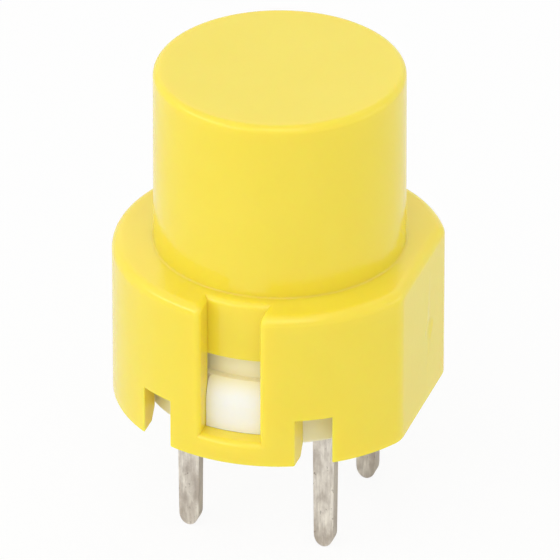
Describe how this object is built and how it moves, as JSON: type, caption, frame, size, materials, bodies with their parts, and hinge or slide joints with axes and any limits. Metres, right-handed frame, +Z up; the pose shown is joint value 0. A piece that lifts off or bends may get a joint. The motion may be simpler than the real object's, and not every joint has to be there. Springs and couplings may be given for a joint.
{
  "type": "push-button key switch",
  "caption": "Round momentary key switch for circuit boards: a moulded push cap snapped over a low housing, with a coil spring, plunger, snap dome and blade pins.",
  "frame": {"origin": "on the button's axis, in the plane where the foot sits on the board", "axes": "+Z up the button's axis, -Y and +Y towards the snap windows, +X towards the collar's flat"},
  "size_m": [0.0114, 0.012, 0.0177],
  "materials": {
    "cap_plastic": "satin moulded yellow plastic, slightly translucent",
    "housing_plastic": "plain moulded off-white plastic",
    "tinned_metal": "dull matt-tinned stamped strip",
    "spring_steel": "bright stainless spring wire and foil",
    "plunger_plastic": "natural moulded plastic"
  },
  "bodies": {
    "base": {"housing": "housing_plastic", "terminal_block": "housing_plastic", "left_terminal": "tinned_metal", "right_terminal": "tinned_metal", "snap_dome": "spring_steel"},
    "cap": {"cap": "cap_plastic"},
    "plunger": {"plunger": "plunger_plastic", "return_spring": "spring_steel"}
  },
  "joints": [
    {"name": "cap_press", "type": "slide", "parent": "base", "child": "cap", "axis": [0, 0, -1], "range_m": [0, 0.0009], "stiffness_N_per_m": 20, "springref_m": -0.0005, "deforming": ["return_spring"]},
    {"name": "plunger_press", "type": "slide", "parent": "base", "child": "plunger", "axis": [0, 0, -1], "range_m": [0, 0.00025], "deforming": ["snap_dome"]}
  ],
  "couplings": [
    {"joint": "plunger_press", "follows": "cap_press", "ratio": 0.2777}
  ]
}
